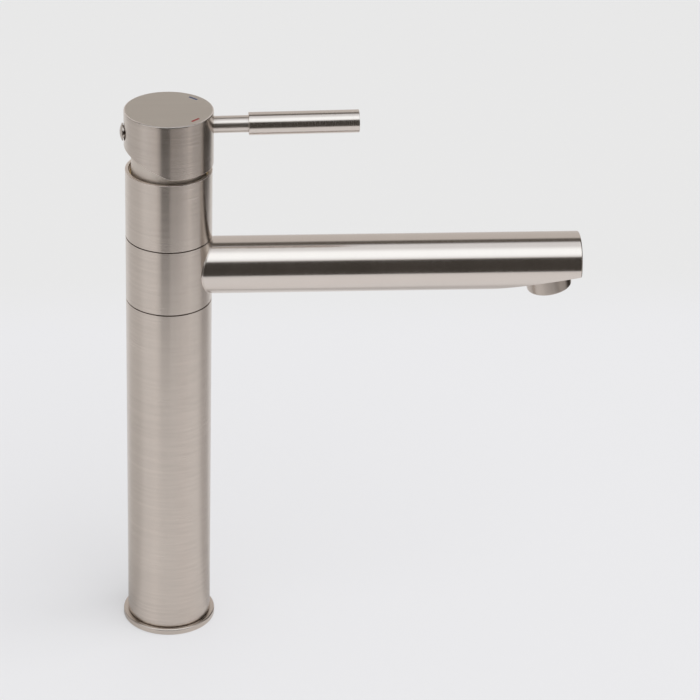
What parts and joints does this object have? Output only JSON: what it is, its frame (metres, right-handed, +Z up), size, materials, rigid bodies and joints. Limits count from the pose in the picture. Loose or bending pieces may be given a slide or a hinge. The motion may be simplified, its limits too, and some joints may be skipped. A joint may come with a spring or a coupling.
{
  "type": "kitchen mixer tap",
  "caption": "Single-lever kitchen mixer tap: round column on a base ring, swivelling straight spout with a flat-cut tip, and a pin lever on a short round handle.",
  "frame": {"origin": "on the column's axis, in the plane of the worktop that the tap stands on", "axes": "+Z up along the column; +X along the spout and the closed lever; -Y is the user's left, the hot side"},
  "size_m": [0.2415, 0.05, 0.3032],
  "materials": {
    "brushed_nickel": "fine brushed, warm grey",
    "brass": "turned",
    "copper": "drawn tube",
    "black_rubber": "matt",
    "white_plastic": "moulded",
    "grey_plastic": "moulded",
    "ceramic": "lapped ceramic",
    "steel": "plain steel",
    "red_enamel": "satin enamel",
    "blue_enamel": "satin enamel"
  },
  "bodies": {
    "fixed_body": {"base_ring": "brushed_nickel", "base_gasket": "black_rubber", "foot_insert": "brass", "column_tube": "brushed_nickel", "hot_supply_tube": "copper", "cold_supply_tube": "copper", "supply_tube_seals": "black_rubber", "column_adapter": "brass", "valve_body": "brass", "lower_slip_ring": "white_plastic", "upper_slip_ring": "white_plastic", "spout_seals": "black_rubber", "upper_sleeve": "brushed_nickel", "cartridge_base": "white_plastic", "cartridge_seals": "black_rubber", "fixed_disc": "ceramic", "cartridge_housing": "grey_plastic", "cartridge_nut": "brass", "neck_cover": "brushed_nickel"},
    "spout": {"spout_collar": "brushed_nickel", "spout_tube": "brushed_nickel", "spout_sole": "brushed_nickel", "spout_end_plate": "brushed_nickel", "aerator_socket": "brass", "aerator_washer": "black_rubber", "aerator_housing": "brushed_nickel", "aerator_insert": "grey_plastic"},
    "cartridge_rotor": {"rotor": "grey_plastic", "stem_pin": "steel"},
    "lever": {"stem": "steel", "handle_cap": "brushed_nickel", "lever_rod": "brushed_nickel", "lever_grip": "brushed_nickel", "grub_screw": "steel", "rear_plug": "brushed_nickel", "hot_mark": "red_enamel", "cold_mark": "blue_enamel"},
    "sliding_disc": {"disc_carrier": "white_plastic", "moving_disc": "ceramic"}
  },
  "joints": [
    {"name": "spout_swivel", "type": "hinge", "parent": "fixed_body", "child": "spout", "pos_m": [0, 0, 0.2146], "axis": [0, 0, 1], "continuous": true},
    {"name": "handle_turn", "type": "hinge", "parent": "fixed_body", "child": "cartridge_rotor", "pos_m": [0, 0, 0.27874], "axis": [0, 0, 1], "range_deg": [-50, 50]},
    {"name": "lever_lift", "type": "hinge", "parent": "cartridge_rotor", "child": "lever", "pos_m": [0, 0, 0.27874], "axis": [0, -1, 0], "range_deg": [0, 22]},
    {"name": "disc_slide", "type": "slide", "parent": "cartridge_rotor", "child": "sliding_disc", "axis": [1, 0, 0], "range_m": [0, 0.00536]}
  ],
  "couplings": [
    {"joint": "disc_slide", "follows": "lever_lift", "m_per_rad": 0.013914}
  ]
}
